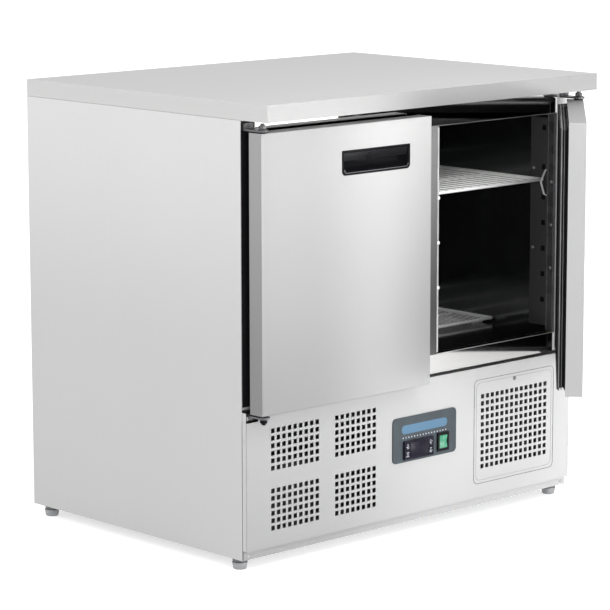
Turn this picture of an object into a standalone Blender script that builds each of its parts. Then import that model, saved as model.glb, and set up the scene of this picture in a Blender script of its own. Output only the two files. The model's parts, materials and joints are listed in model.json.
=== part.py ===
"""Two-door undercounter refrigerated cabinet with a plain stainless worktop.

Metres, +Z up, the doors face -Y. All sizes below are in the cabinet's own frame: X is 0 on the
centre line, Y is 0 at the middle of the worktop's depth and Z is 0 at the floor. The empty
"cabinet" moves that frame in Y, so that the whole object, with its right door standing open,
is centred on the world's origin.
"""

import math

import bmesh
import bpy
from mathutils import Matrix, Vector

# ---------------------------------------------------------------- driving dimensions
WIDTH, DEPTH, HEIGHT = 0.900, 0.700, 0.880
SHEET = 0.001  # stainless sheet
GAP = 0.0003  # between neighbours that touch
WORKTOP_EDGE = 0.033
BODY_FRONT = -0.277  # the plane that the gaskets close on
BODY_BACK = DEPTH / 2
BODY_BOTTOM = 0.022
BODY_TOP = HEIGHT - WORKTOP_EDGE - 0.0005

DOOR_FACE, DOOR_BACK = -0.327, -0.294
DOOR_BOTTOM, DOOR_TOP = 0.303, 0.8255
DOOR_INNER_X, DOOR_OUTER_X = 0.0025, 0.444
PIVOT_X, PIVOT_Y = 0.432, -0.3175
RIGHT_DOOR_OPEN_DEG = 42.0
PIN_RADIUS, PIN_HOLE_RADIUS = 0.004, 0.0055
PIN_REACH = 0.011

HANDLE_X = (0.061, 0.241)
HANDLE_Z = (0.731, 0.778)
HANDLE_POCKET_DEPTH = 0.025

OPENING_X = (0.069, 0.4125)
OPENING_Z = (0.346, 0.798)
LINER_X, LINER_BACK = 0.4125, 0.2995
SILL_BOTTOM = 0.3085
INSULATION_BOTTOM = 0.3095

SLOT = 0.011
SLOT_HEIGHTS = (*(0.411 + 0.053 * i for i in range(5)), 0.6845, 0.765)

PANEL_FACE = -0.2885
PANEL_X, PANEL_Z = 0.449, (0.040, 0.3055)
HOLE = 0.009
PITCH = 0.0143
# first hole centre (left, top), columns, rows
GRILLES = (
    (-0.3825, 0.2625, 9, 6),
    (-0.2165, 0.2625, 8, 6),
    (-0.3825, 0.1475, 9, 6),
    (-0.2165, 0.1475, 8, 6),
)
VENT_X, VENT_Z, VENT_CORNER = (0.171, 0.393), (0.0755, 0.2740), 0.010
VENT_HOLES = (0.1885, 0.2460, 14, 11)
PLATE_X, PLATE_Z, PLATE_CORNER = (-0.067, 0.110), (0.1470, 0.2366), 0.009
CONTROLLER_X, CONTROLLER_Z = (-0.039, 0.042), (0.1520, 0.1890)
SWITCH_X, SWITCH_Z = (0.0550, 0.0865), (0.1545, 0.1915)

FOOT_X, FOOT_FRONT_Y, FOOT_BACK_Y = 0.432, -0.250, 0.315
FAN_CENTRE = (0.282, -0.175, 0.1747)
EVAPORATOR_FAN = (-0.075, 0.249, 0.700)

# The open door's outer free corner is the frontmost point of the whole object.
_swing = math.radians(RIGHT_DOOR_OPEN_DEG)
_reach = PIVOT_X - DOOR_INNER_X
OPEN_FRONT = PIVOT_Y - _reach * math.sin(_swing) + (DOOR_FACE - PIVOT_Y) * math.cos(_swing)
CABINET_SHIFT_Y = -(OPEN_FRONT + DEPTH / 2) / 2

STEEL = (0.62, 0.62, 0.61)


# ---------------------------------------------------------------- helpers
def clear_scene():
    for obj in list(bpy.data.objects):
        bpy.data.objects.remove(obj)


def empty(name, parent=None, location=(0, 0, 0), angle_deg=0.0):
    """An axis or group: a child empty's location is in the cabinet's frame."""
    obj = bpy.data.objects.new(name, None)
    bpy.context.scene.collection.objects.link(obj)
    obj.parent = parent
    obj.location = location
    obj.rotation_euler.z = math.radians(angle_deg)
    return obj


def material(name, colour, roughness, metallic):
    made = bpy.data.materials.new(name)
    made.use_nodes = True
    shader = made.node_tree.nodes["Principled BSDF"]
    shader.inputs["Base Color"].default_value = (*colour, 1)
    shader.inputs["Roughness"].default_value = roughness
    shader.inputs["Metallic"].default_value = metallic
    return made


def add(name, bm, parent, colour=STEEL, roughness=0.35, metallic=1.0, smooth=False):
    """Makes an object from a bmesh drawn in the cabinet's frame, on its parent's axis."""
    bmesh.ops.recalc_face_normals(bm, faces=bm.faces)
    if parent.parent is not None:
        bmesh.ops.translate(bm, verts=bm.verts, vec=-parent.location)
    mesh = bpy.data.meshes.new(name)
    bm.to_mesh(mesh)
    bm.free()
    if smooth:
        mesh.shade_smooth()
        mesh.set_sharp_from_angle(angle=math.radians(35))
    mesh.materials.append(material(name, colour, roughness, metallic))
    obj = bpy.data.objects.new(name, mesh)
    bpy.context.scene.collection.objects.link(obj)
    obj.parent = parent
    return obj


def helper(obj):
    obj.hide_render = True
    obj.display_type = "WIRE"
    return obj


def combine(obj, bm, name, operation="DIFFERENCE"):
    """Cuts a shape out of an object, or joins one to it, with an exact Boolean."""
    tool = helper(add(name, bm, obj.parent))
    boolean = obj.modifiers.new(name, "BOOLEAN")
    boolean.operation = operation
    boolean.solver = "EXACT"
    boolean.object = tool
    return obj


def spans(x, y, z):
    """A block from three (low, high) pairs, in any order within a pair."""
    return tuple(tuple(sorted(pair)) for pair in (x, y, z))


def blocks(solid, voids=()):
    """One closed mesh of axis-aligned blocks, less the voids: folded sheet, pans and frames."""
    cuts = []
    for axis in range(3):
        values = {v for block in (*solid, *voids) for v in block[axis]}
        cuts.append(sorted(values))

    def inside(block, centre):
        return all(block[a][0] < centre[a] < block[a][1] for a in range(3))

    def filled(cell):
        if any(not 0 <= cell[a] < len(cuts[a]) - 1 for a in range(3)):
            return False
        centre = [(cuts[a][cell[a]] + cuts[a][cell[a] + 1]) / 2 for a in range(3)]
        if not any(inside(b, centre) for b in solid):
            return False
        return not any(inside(b, centre) for b in voids)

    counts = [len(c) - 1 for c in cuts]
    cells = {
        (i, j, k)
        for i in range(counts[0])
        for j in range(counts[1])
        for k in range(counts[2])
        if filled((i, j, k))
    }
    bm, corners = bmesh.new(), {}

    def corner(index):
        if index not in corners:
            corners[index] = bm.verts.new([cuts[a][index[a]] for a in range(3)])
        return corners[index]

    for cell in sorted(cells):
        for axis in range(3):
            u, v = (axis + 1) % 3, (axis + 2) % 3
            for side in (0, 1):
                beyond = list(cell)
                beyond[axis] += 1 if side else -1
                if tuple(beyond) in cells:
                    continue
                loop = []
                for du, dv in ((0, 0), (1, 0), (1, 1), (0, 1)):
                    index = list(cell)
                    index[axis] += side
                    index[u] += du
                    index[v] += dv
                    loop.append(corner(tuple(index)))
                bm.faces.new(loop if side else loop[::-1])
    return bm


def box(x, y, z):
    return blocks([spans(x, y, z)])


def bevelled_box(x, y, z, radius, segments=2, pick=None):
    """A block whose edges, or those that pick accepts, are rounded."""
    bm = box(x, y, z)
    edges = [e for e in bm.edges if pick is None or pick(e)]
    bmesh.ops.bevel(bm, geom=edges, offset=radius, segments=segments, profile=0.5, affect="EDGES")
    return bm


def along_y(edge):
    return abs(edge.verts[0].co.y - edge.verts[1].co.y) > 1e-6


def turned(profile, centre, axis="Z", segments=20):
    """A solid turned about an axis through centre. Profile: (radius, distance along the axis),
    starting and ending at radius 0."""
    bm = bmesh.new()
    line = [bm.verts.new((radius, 0, along)) for radius, along in profile]
    geometry = line + [bm.edges.new(pair) for pair in zip(line, line[1:])]
    bmesh.ops.spin(
        bm, geom=geometry, axis=(0, 0, 1), cent=(0, 0, 0), angle=2 * math.pi, steps=segments, use_merge=True
    )
    bmesh.ops.remove_doubles(bm, verts=bm.verts, dist=1e-6)
    turn = Matrix.Rotation(math.radians(-90), 4, "X") if axis == "Y" else Matrix.Identity(4)
    bmesh.ops.transform(bm, matrix=Matrix.Translation(centre) @ turn, verts=bm.verts)
    return bm


def cylinder(radius, low, high, centre, axis="Z", segments=16):
    """A plain cylinder from low to high along its axis, measured from centre."""
    return turned([(0, low), (radius, low), (radius, high), (0, high)], centre, axis, segments)


def hole_grid(left, top, columns, rows, y):
    """Square holes through a sheet, as blocks: a grid from its top left hole centre."""
    found = []
    for column in range(columns):
        for row in range(rows):
            x, z = left + column * PITCH, top - row * PITCH
            found.append(spans((x - HOLE / 2, x + HOLE / 2), y, (z - HOLE / 2, z + HOLE / 2)))
    return found


def inset(pair, amount):
    return (pair[0] + amount, pair[1] - amount)


# ---------------------------------------------------------------- cabinet shell
def off_worktop_underside(edge):
    return max(vert.co.z for vert in edge.verts) > HEIGHT - 1e-6


def make_worktop(root):
    outer_x, outer_y = (-WIDTH / 2, WIDTH / 2), (-DEPTH / 2, DEPTH / 2)
    bottom = HEIGHT - WORKTOP_EDGE
    top = bevelled_box(outer_x, outer_y, (bottom, HEIGHT), 0.0009, 2, off_worktop_underside)
    worktop = add("worktop", top, root, STEEL, 0.3)
    pan = box(inset(outer_x, 0.0012), inset(outer_y, 0.0012), (bottom + 0.0012, HEIGHT - 0.0012))
    combine(worktop, pan, "cutter_worktop_pan")
    mouth = box((-0.448, 0.448), (BODY_FRONT + 0.002, 0.3475), (bottom - 0.01, bottom + 0.01))
    combine(worktop, mouth, "cutter_worktop_mouth")


def make_side_panel(root, side, name):
    outer, inner = side * WIDTH / 2, side * (WIDTH / 2 - SHEET)
    sheet = spans((outer, inner), (BODY_FRONT, BODY_BACK), (BODY_BOTTOM, BODY_TOP))
    stile = spans(
        (inner, side * (OPENING_X[1] + GAP)), (BODY_FRONT, BODY_FRONT + SHEET), (SILL_BOTTOM + GAP, BODY_TOP)
    )
    bottom_fold = spans(
        (inner, side * 0.436), (BODY_FRONT + 0.02, BODY_BACK - 0.002), (BODY_BOTTOM, BODY_BOTTOM + SHEET)
    )
    front_y = (FOOT_FRONT_Y - 0.019, FOOT_FRONT_Y + 0.019)
    back_y = (FOOT_BACK_Y - 0.019, FOOT_BACK_Y + 0.019)
    relief = [spans((inner, side * 0.43), y, (0, 0.05)) for y in (front_y, back_y)]
    add(name, blocks([sheet, stile, bottom_fold], relief), root)


def make_back_panel(root):
    y = (BODY_BACK - SHEET, BODY_BACK)
    plate = spans(inset((-WIDTH / 2, WIDTH / 2), SHEET + GAP), y, (BODY_BOTTOM, BODY_TOP))
    slots = []
    for column in range(3):
        for row in range(6):
            x, z = -0.30 + column * 0.22, 0.09 + row * 0.03
            slots.append(spans((x, x + 0.16), y, (z, z + 0.008)))
    inlet = spans((0.372, 0.388), y, (0.075, 0.091))
    add("back_panel", blocks([plate], [*slots, inlet]), root)


def make_front_frame(root):
    """The three folded members round the openings, which the gaskets close on."""
    y0, y1 = BODY_FRONT, BODY_FRONT + SHEET
    across = (-OPENING_X[1], OPENING_X[1])
    lip = (y0, -0.256)
    top, bottom = OPENING_Z[1], OPENING_Z[0]
    rail = [
        spans(across, (y0, y1), (top, BODY_TOP)),
        spans(across, lip, (top, top + SHEET)),
    ]
    add("top_rail", blocks(rail), root)
    sill = [
        spans(across, (y0, y1), (SILL_BOTTOM + GAP, bottom)),
        spans(across, lip, (bottom - SHEET, bottom)),
    ]
    add("bottom_sill", blocks(sill), root)
    half = OPENING_X[0]
    upright = inset((bottom, top), GAP)
    mullion = [spans((-half, half), (y0, y1), upright)]
    for side in (-1, 1):
        mullion.append(spans((side * half, side * (half - SHEET)), lip, upright))
    add("center_mullion", blocks(mullion), root)


def make_liner(root):
    """The food compartment's five walls. Each is its own sheet."""
    dark, rough = (0.5, 0.5, 0.5), 0.12
    x, top, bottom = LINER_X, OPENING_Z[1], OPENING_Z[0]
    front = -0.256 + GAP
    wall_z = (bottom, top)
    for side, name in ((-1, "liner_left"), (1, "liner_right")):
        add(name, box((side * x, side * (x - SHEET)), (front, LINER_BACK), wall_z), root, dark, rough)
    between = inset((-x, x), SHEET + GAP)
    add("liner_back", box(between, (LINER_BACK - SHEET, LINER_BACK), wall_z), root, dark, rough)
    floor_y = (front, LINER_BACK - SHEET - GAP)
    add("liner_floor", box(between, floor_y, (bottom, bottom + SHEET)), root, dark, rough)
    add("liner_ceiling", box(between, floor_y, (top - SHEET, top)), root, dark, rough)


def make_insulation(root):
    """Foam between the liner and the outer panels, up into the worktop's pan."""
    side = WIDTH / 2 - SHEET - GAP
    back = BODY_BACK - SHEET - GAP
    tub = spans((-side, side), (-0.2557, back), (INSULATION_BOTTOM, BODY_TOP))
    cap = spans((-0.445, 0.445), (BODY_FRONT + 0.005, 0.344), (BODY_TOP, HEIGHT - 0.002))
    gap_x, gap_y = LINER_X + GAP, LINER_BACK + GAP
    room = spans((-gap_x, gap_x), (-0.3, gap_y), (OPENING_Z[0] - GAP, OPENING_Z[1] + GAP))
    add("insulation_shell", blocks([tub, cap], [room]), root, (0.85, 0.8, 0.55), 0.9, 0.0)


# ---------------------------------------------------------------- food compartment
def make_pilaster(root, name, x, y, slot_x, slot_y):
    """A slotted upright strip that the shelf clips hook into."""
    z = (OPENING_Z[0] + 0.012, OPENING_Z[1] - 0.012)
    slots = [spans(slot_x, slot_y, (at - SLOT / 2, at + SLOT / 2)) for at in SLOT_HEIGHTS]
    add(name, blocks([spans(x, y, z)], slots), root, STEEL, 0.3)


def make_pilasters(root):
    wall = LINER_X - SHEET - GAP
    for side, word in ((-1, "left"), (1, "right")):
        for place, y in (("front", (-0.2555, -0.2105)), ("rear", (0.185, 0.230))):
            x = (side * wall, side * (wall - 0.0015))
            slot_y = (y[0] + 0.0045, y[0] + 0.0045 + SLOT)
            make_pilaster(root, f"pilaster_{word}_{place}", x, y, x, slot_y)
    back = LINER_BACK - SHEET - GAP
    back_y = (back - 0.0015, back)
    make_pilaster(root, "pilaster_center_rear", (-0.020, 0.020), back_y, (-SLOT / 2, SLOT / 2), back_y)


def make_shelf(root, name, side, y, z, pitch):
    """A plated wire shelf as one flat grid: a border, two stretchers and the gaps between wires."""
    inner, outer, rim, rod = 0.0505, 0.4075, 0.005, 0.003
    plate = spans((side * inner, side * outer), y, z)
    stretchers = [y[0] + (y[1] - y[0]) * share for share in (0.33, 0.67)]
    ends = [y[0] + rim, *stretchers, y[1] - rim]
    gaps = []
    x = inner + rim
    while x + pitch < outer - rim + 1e-6:
        for low, high in zip(ends, ends[1:]):
            gaps.append(spans((side * x, side * (x + pitch - rod)), (low, high - rod), z))
        x += pitch
    add(name, blocks([plate], gaps), root, (0.85, 0.85, 0.85), 0.4, 0.0)


def make_evaporator(root, axle):
    cover_x, cover_y, cover_z = (-0.17, 0.17), (0.235, 0.2963), (0.615, 0.785)
    shell = spans(cover_x, cover_y, cover_z)
    hollow = spans(inset(cover_x, SHEET), (cover_y[0] + SHEET, 0.30), inset(cover_z, SHEET))
    outlets = []
    for row in range(5):
        z = 0.655 + row * 0.02
        outlets.append(spans((0.02, 0.14), (0.23, cover_y[0] + SHEET), (z, z + 0.006)))
    cover = add("evaporator_cover", blocks([shell], [hollow, *outlets]), root)
    combine(cover, cylinder(0.056, -0.02, 0.005, EVAPORATOR_FAN, "Y", 32), "cutter_evaporator_mouth")
    block = spans((-0.16, 0.16), (0.262, 0.294), (0.63, 0.77))
    fins = []
    for i in range(14):
        left = -0.153 + i * 0.022
        fins.append(spans((left, left + 0.014), (0.256, 0.284), (0.625, 0.775)))
    coil = add("evaporator_coil", blocks([block], fins), root, (0.75, 0.75, 0.76), 0.4)
    motor = turned(
        [(0, -0.0032), (0.0032, -0.0032), (0.0032, 0.007), (0.02, 0.007), (0.02, 0.037), (0, 0.037)],
        EVAPORATOR_FAN, "Y"
    )
    combine(coil, motor, "joined_evaporator_motor", "UNION")
    make_fan_blade(axle, "evaporator_fan", EVAPORATOR_FAN, 0.051, 0.013, 0.0037, (-0.0065, 0.0065))


# ---------------------------------------------------------------- machine compartment
def make_fan_blade(axle, name, centre, tip, hub, bore, hub_span):
    """Four pitched blades on a hub that turns about Y, with a blind bore for the shaft."""
    fan = add(name, cylinder(hub, *hub_span, centre, "Y", 20), axle, (0.1, 0.1, 0.1), 0.5, 0.0, True)
    for i in range(4):
        blade = box((-hub * 0.55, hub * 0.55), (-0.0008, 0.0008), (hub * 0.7, tip))
        pitch = Matrix.Rotation(math.radians(24), 4, "Z")
        round_axle = Matrix.Rotation(math.radians(90 * i), 4, "Y")
        place = Matrix.Translation(Vector(centre)) @ round_axle @ pitch
        bmesh.ops.transform(blade, matrix=place, verts=blade.verts)
        combine(fan, blade, f"joined_{name}_{i + 1}", "UNION")
    combine(fan, cylinder(bore, hub_span[0] + 0.003, hub_span[1] + 0.01, centre, "Y"), f"cutter_{name}_bore")


def make_base(root):
    x = WIDTH / 2 - SHEET - GAP
    tray_z = (BODY_BOTTOM + SHEET + GAP, BODY_BOTTOM + 2 * SHEET + GAP)
    y = (BODY_FRONT + GAP, BODY_BACK - SHEET - GAP)
    tray = [spans((-x, x), y, tray_z)]
    for side in (-1, 1):
        tray.append(spans((side * x, side * (x - SHEET)), y, (tray_z[0], tray_z[0] + 0.02)))
    base = add("base_tray", blocks(tray), root)
    for place_x in (-FOOT_X, FOOT_X):
        for place_y in (FOOT_FRONT_Y, FOOT_BACK_Y):
            tag = f"{'l' if place_x < 0 else 'r'}{'f' if place_y < 0 else 'b'}"
            hole = cylinder(0.0054, 0, 0.05, (place_x, place_y, 0))
            combine(base, hole, f"cutter_foot_hole_{tag}")


def make_front_panel(root):
    face = (PANEL_FACE, PANEL_FACE + SHEET)
    depth = (PANEL_FACE, BODY_FRONT - GAP)
    across = (-PANEL_X, PANEL_X)
    panel = [spans(across, face, PANEL_Z)]
    for side in (-1, 1):
        panel.append(spans((side * PANEL_X, side * (PANEL_X - SHEET)), depth, PANEL_Z))
    panel.append(spans(across, depth, (PANEL_Z[1] - SHEET, PANEL_Z[1])))
    panel.append(spans(across, (PANEL_FACE, -0.2795), (PANEL_Z[0], PANEL_Z[0] + SHEET)))
    voids = [hole for grille in GRILLES for hole in hole_grid(*grille, face)]
    voids.append(spans(inset(CONTROLLER_X, 0.0015), face, inset(CONTROLLER_Z, 0.0015)))
    voids.append(spans(inset(SWITCH_X, 0.0015), face, inset(SWITCH_Z, 0.0015)))
    for side in (-1, 1):
        voids.append(spans((side * 0.4495, side * 0.4185), (-0.30, -0.27), (0.2855, 0.31)))
    base = add("base_front_panel", blocks(panel, voids), root)
    window = bevelled_box(
        inset(VENT_X, -0.0006), (PANEL_FACE - 0.01, PANEL_FACE + 0.01), inset(VENT_Z, -0.0006),
        VENT_CORNER + 0.0006, 4, along_y
    )
    combine(base, window, "cutter_vent_window")


def make_toe_strip(root):
    y = (-0.2790, -0.2780)
    strip = spans((-PANEL_X, PANEL_X), y, (BODY_BOTTOM + 0.0005, PANEL_Z[0] - GAP))
    add("base_toe_strip", blocks([strip]), root)


def make_vent_cover(root):
    """The removable perforated cover: a flush face on a larger backing sheet behind the panel."""
    face = bevelled_box(VENT_X, (PANEL_FACE, PANEL_FACE + 0.002), VENT_Z, VENT_CORNER, 4, along_y)
    cover = add("vent_cover", face, root)
    back_y = (PANEL_FACE + SHEET + GAP, PANEL_FACE + 2 * SHEET + GAP)
    combine(cover, box(inset(VENT_X, -0.006), back_y, inset(VENT_Z, -0.006)), "joined_vent_backing", "UNION")
    holes = blocks(hole_grid(*VENT_HOLES, (PANEL_FACE - 0.005, PANEL_FACE + 0.008)))
    combine(cover, holes, "cutter_vent_holes")


def make_controls(root):
    slate = (0.075, 0.095, 0.11)
    y = (PANEL_FACE - 0.0023, PANEL_FACE - GAP)
    plate = bevelled_box(PLATE_X, y, PLATE_Z, PLATE_CORNER, 5, along_y)
    plate = add("control_plate", plate, root, slate, 0.4, 0.0)
    through = (PANEL_FACE - 0.01, PANEL_FACE + 0.01)
    for name, x, z in (("controller", CONTROLLER_X, CONTROLLER_Z), ("switch", SWITCH_X, SWITCH_Z)):
        combine(plate, box(inset(x, 0.0015), through, inset(z, 0.0015)), f"cutter_{name}_window")

    black = (0.02, 0.02, 0.022)
    front = PANEL_FACE - 0.0066
    bezel = spans(CONTROLLER_X, (front, PANEL_FACE - 0.0026), CONTROLLER_Z)
    case = spans(inset(CONTROLLER_X, 0.0022), (PANEL_FACE - 0.0026, -0.245), inset(CONTROLLER_Z, 0.0022))
    wells = []
    keys = {}
    for column, x in enumerate((CONTROLLER_X[0] + 0.0085, CONTROLLER_X[1] - 0.0085)):
        for row, z in enumerate((CONTROLLER_Z[1] - 0.0105, CONTROLLER_Z[0] + 0.0105)):
            number = column * 2 + row + 1
            keys[number] = (x, z)
            wells.append(spans((x - 0.0045, x + 0.0045), (front, front + 0.0045), (z - 0.0060, z + 0.0060)))
    add("controller_body", blocks([bezel, case], wells), root, black, 0.25, 0.0)
    for number, (x, z) in keys.items():
        key_y = (front - 0.0005, front + 0.0032)
        key = bevelled_box((x - 0.0042, x + 0.0042), key_y, (z - 0.0057, z + 0.0057), 0.0005, 1)
        axis = empty(f"key_slide_{number}", root, (x, front, z))
        add(f"controller_key_{number}", key, axis, black, 0.4, 0.0)

    bezel = spans(SWITCH_X, (PANEL_FACE - 0.0058, PANEL_FACE - 0.0026), SWITCH_Z)
    case = spans(inset(SWITCH_X, 0.0022), (PANEL_FACE - 0.0026, -0.262), inset(SWITCH_Z, 0.0022))
    well = spans(inset(SWITCH_X, 0.0048), (-0.30, -0.272), inset(SWITCH_Z, 0.0048))
    add("switch_bezel", blocks([bezel, case], [well]), root, black, 0.35, 0.0)
    centre = Vector((sum(SWITCH_X) / 2, PANEL_FACE + 0.0005, sum(SWITCH_Z) / 2))
    rocker = make_rocker_shape(centre)
    axis = empty("rocker_axis", root, centre)
    add("switch_rocker", rocker, axis, (0.02, 0.45, 0.16), 0.3, 0.0, True)


def make_rocker_shape(centre):
    """A rocker about X: a shallow V-shaped face over a round belly that clears its well."""
    half_x, half_z, proud, belly = 0.0106, 0.0128, 0.0068, 0.0095
    rise = math.radians(8)
    face = [(-half_z, -proud), (0, -proud + half_z * math.tan(rise) * 0.55), (half_z, -proud)]
    arc = [math.radians(a) for a in range(20, 161, 20)]
    under = [(half_z * math.cos(a), belly * math.sin(a)) for a in arc]
    outline = [*face, *under]
    bm = bmesh.new()
    ring = [bm.verts.new((centre.x - half_x, centre.y + y, centre.z + z)) for z, y in outline]
    end = bm.faces.new(ring)
    moved = bmesh.ops.extrude_face_region(bm, geom=[end])["geom"]
    verts = [v for v in moved if isinstance(v, bmesh.types.BMVert)]
    bmesh.ops.translate(bm, verts=verts, vec=(2 * half_x, 0, 0))
    return bm


def make_machinery(root, axle):
    dark = (0.03, 0.03, 0.035)
    dome = [(0, 0), (0.078, 0), (0.085, 0.012), (0.085, 0.115), (0.074, 0.145), (0.045, 0.162), (0, 0.167)]
    add("compressor", turned(dome, (-0.20, 0.13, 0.0265), segments=24), root, dark, 0.4, 0.3, True)
    coil_x, coil_y, coil_z = (0.184, 0.381), (-0.262, -0.214), (0.070, 0.272)
    fins = []
    for i in range(13):
        left = coil_x[0] + 0.008 + i * 0.0145
        fins.append(spans((left, left + 0.009), (coil_y[0] - 0.01, coil_y[1] - 0.014), inset(coil_z, -0.01)))
    add("condenser_coil", blocks([spans(coil_x, coil_y, coil_z)], fins), root, (0.7, 0.7, 0.7), 0.4)
    x, y, z = FAN_CENTRE
    frame_y = (-0.2105, -0.1650)
    plate = box((x - 0.098, x + 0.098), frame_y, (0.0760, 0.2720))
    frame = add("condenser_fan_frame", plate, root, dark, 0.6, 0.0)
    combine(frame, cylinder(0.087, -0.06, 0.0070, FAN_CENTRE, "Y", 32), "cutter_fan_mouth")
    for i, angle in enumerate((0, 90)):
        window = box((0.040, 0.080), (-0.02, 0.03), (-0.030, 0.030))
        for turn in (0, 180):
            opening = window.copy()
            round_shaft = Matrix.Rotation(math.radians(angle + turn), 4, "Y")
            place = Matrix.Translation(Vector(FAN_CENTRE)) @ round_shaft
            bmesh.ops.transform(opening, matrix=place, verts=opening.verts)
            combine(frame, opening, f"cutter_fan_window_{i}_{turn}")
        window.free()
    motor = turned(
        [(0, -0.014), (0.0042, -0.014), (0.0042, 0.0085), (0.033, 0.0085), (0.033, 0.050), (0, 0.050)],
        FAN_CENTRE, "Y"
    )
    combine(frame, motor, "joined_fan_motor", "UNION")
    make_fan_blade(axle, "condenser_fan", FAN_CENTRE, 0.083, 0.022, 0.0047, (-0.018, 0.0015))


def make_inlet(root):
    """The gland that the mains lead leaves by, at the back."""
    gland = turned(
        [(0, -0.024), (0.0068, -0.024), (0.0068, -0.012), (0.011, -0.012), (0.011, -0.0016),
         (0.0072, -0.0016), (0.0072, -0.0003), (0.0048, -0.0003), (0.0048, -0.010), (0, -0.010)],
        (0.380, BODY_BACK, 0.083), "Y"
    )
    add("cable_gland", gland, root, (0.03, 0.03, 0.03), 0.6, 0.0, True)


def make_feet(root):
    profile = [(0, 0), (0.0118, 0), (0.0128, 0.001), (0.0150, 0.0125), (0.0150, 0.0195), (0.0138, 0.0212),
               (0.0045, 0.0212), (0.0045, 0.040), (0, 0.040)]
    for side, word in ((-1, "left"), (1, "right")):
        for place, y in (("front", FOOT_FRONT_Y), ("rear", FOOT_BACK_Y)):
            centre = (side * FOOT_X, y, 0)
            axis = empty(f"foot_axis_{place}_{word}", root, centre)
            add(f"foot_{place}_{word}", turned(profile, centre), axis, (0.3, 0.3, 0.3), 0.5, 0.5, True)


# ---------------------------------------------------------------- doors
def make_hinge_bracket(root, side, word, place):
    """A plate off the cabinet's front corner with the door's pivot pin on it."""
    nose = 0.0120
    x = (side * (PIVOT_X + nose), side * (PIVOT_X - nose))
    if place == "top":
        plate_z = (DOOR_TOP + 0.0025, DOOR_TOP + 0.0055)
        leg_z = (plate_z[0], plate_z[1] + 0.010)
        pin = (DOOR_TOP - PIN_REACH, plate_z[0] + 0.001)
    else:
        plate_z = (DOOR_BOTTOM - 0.0055, DOOR_BOTTOM - 0.0025)
        leg_z = (plate_z[0] - 0.009, plate_z[1])
        pin = (plate_z[1] - 0.001, DOOR_BOTTOM + PIN_REACH)
    arm = spans(x, (PIVOT_Y, BODY_FRONT - GAP), plate_z)
    leg = spans(x, (BODY_FRONT - GAP - 0.0025, BODY_FRONT - GAP), leg_z)
    bracket = add(f"hinge_bracket_{place}_{word}", blocks([arm, leg]), root, STEEL, 0.3)
    centre = (side * PIVOT_X, PIVOT_Y, 0)
    combine(bracket, cylinder(nose, *plate_z, centre), f"joined_hinge_nose_{place}_{word}", "UNION")
    combine(bracket, cylinder(PIN_RADIUS, *pin, centre), f"joined_hinge_pin_{place}_{word}", "UNION")


def at_door_face(edge):
    return min(vert.co.y for vert in edge.verts) < DOOR_FACE + 1e-6


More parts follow.
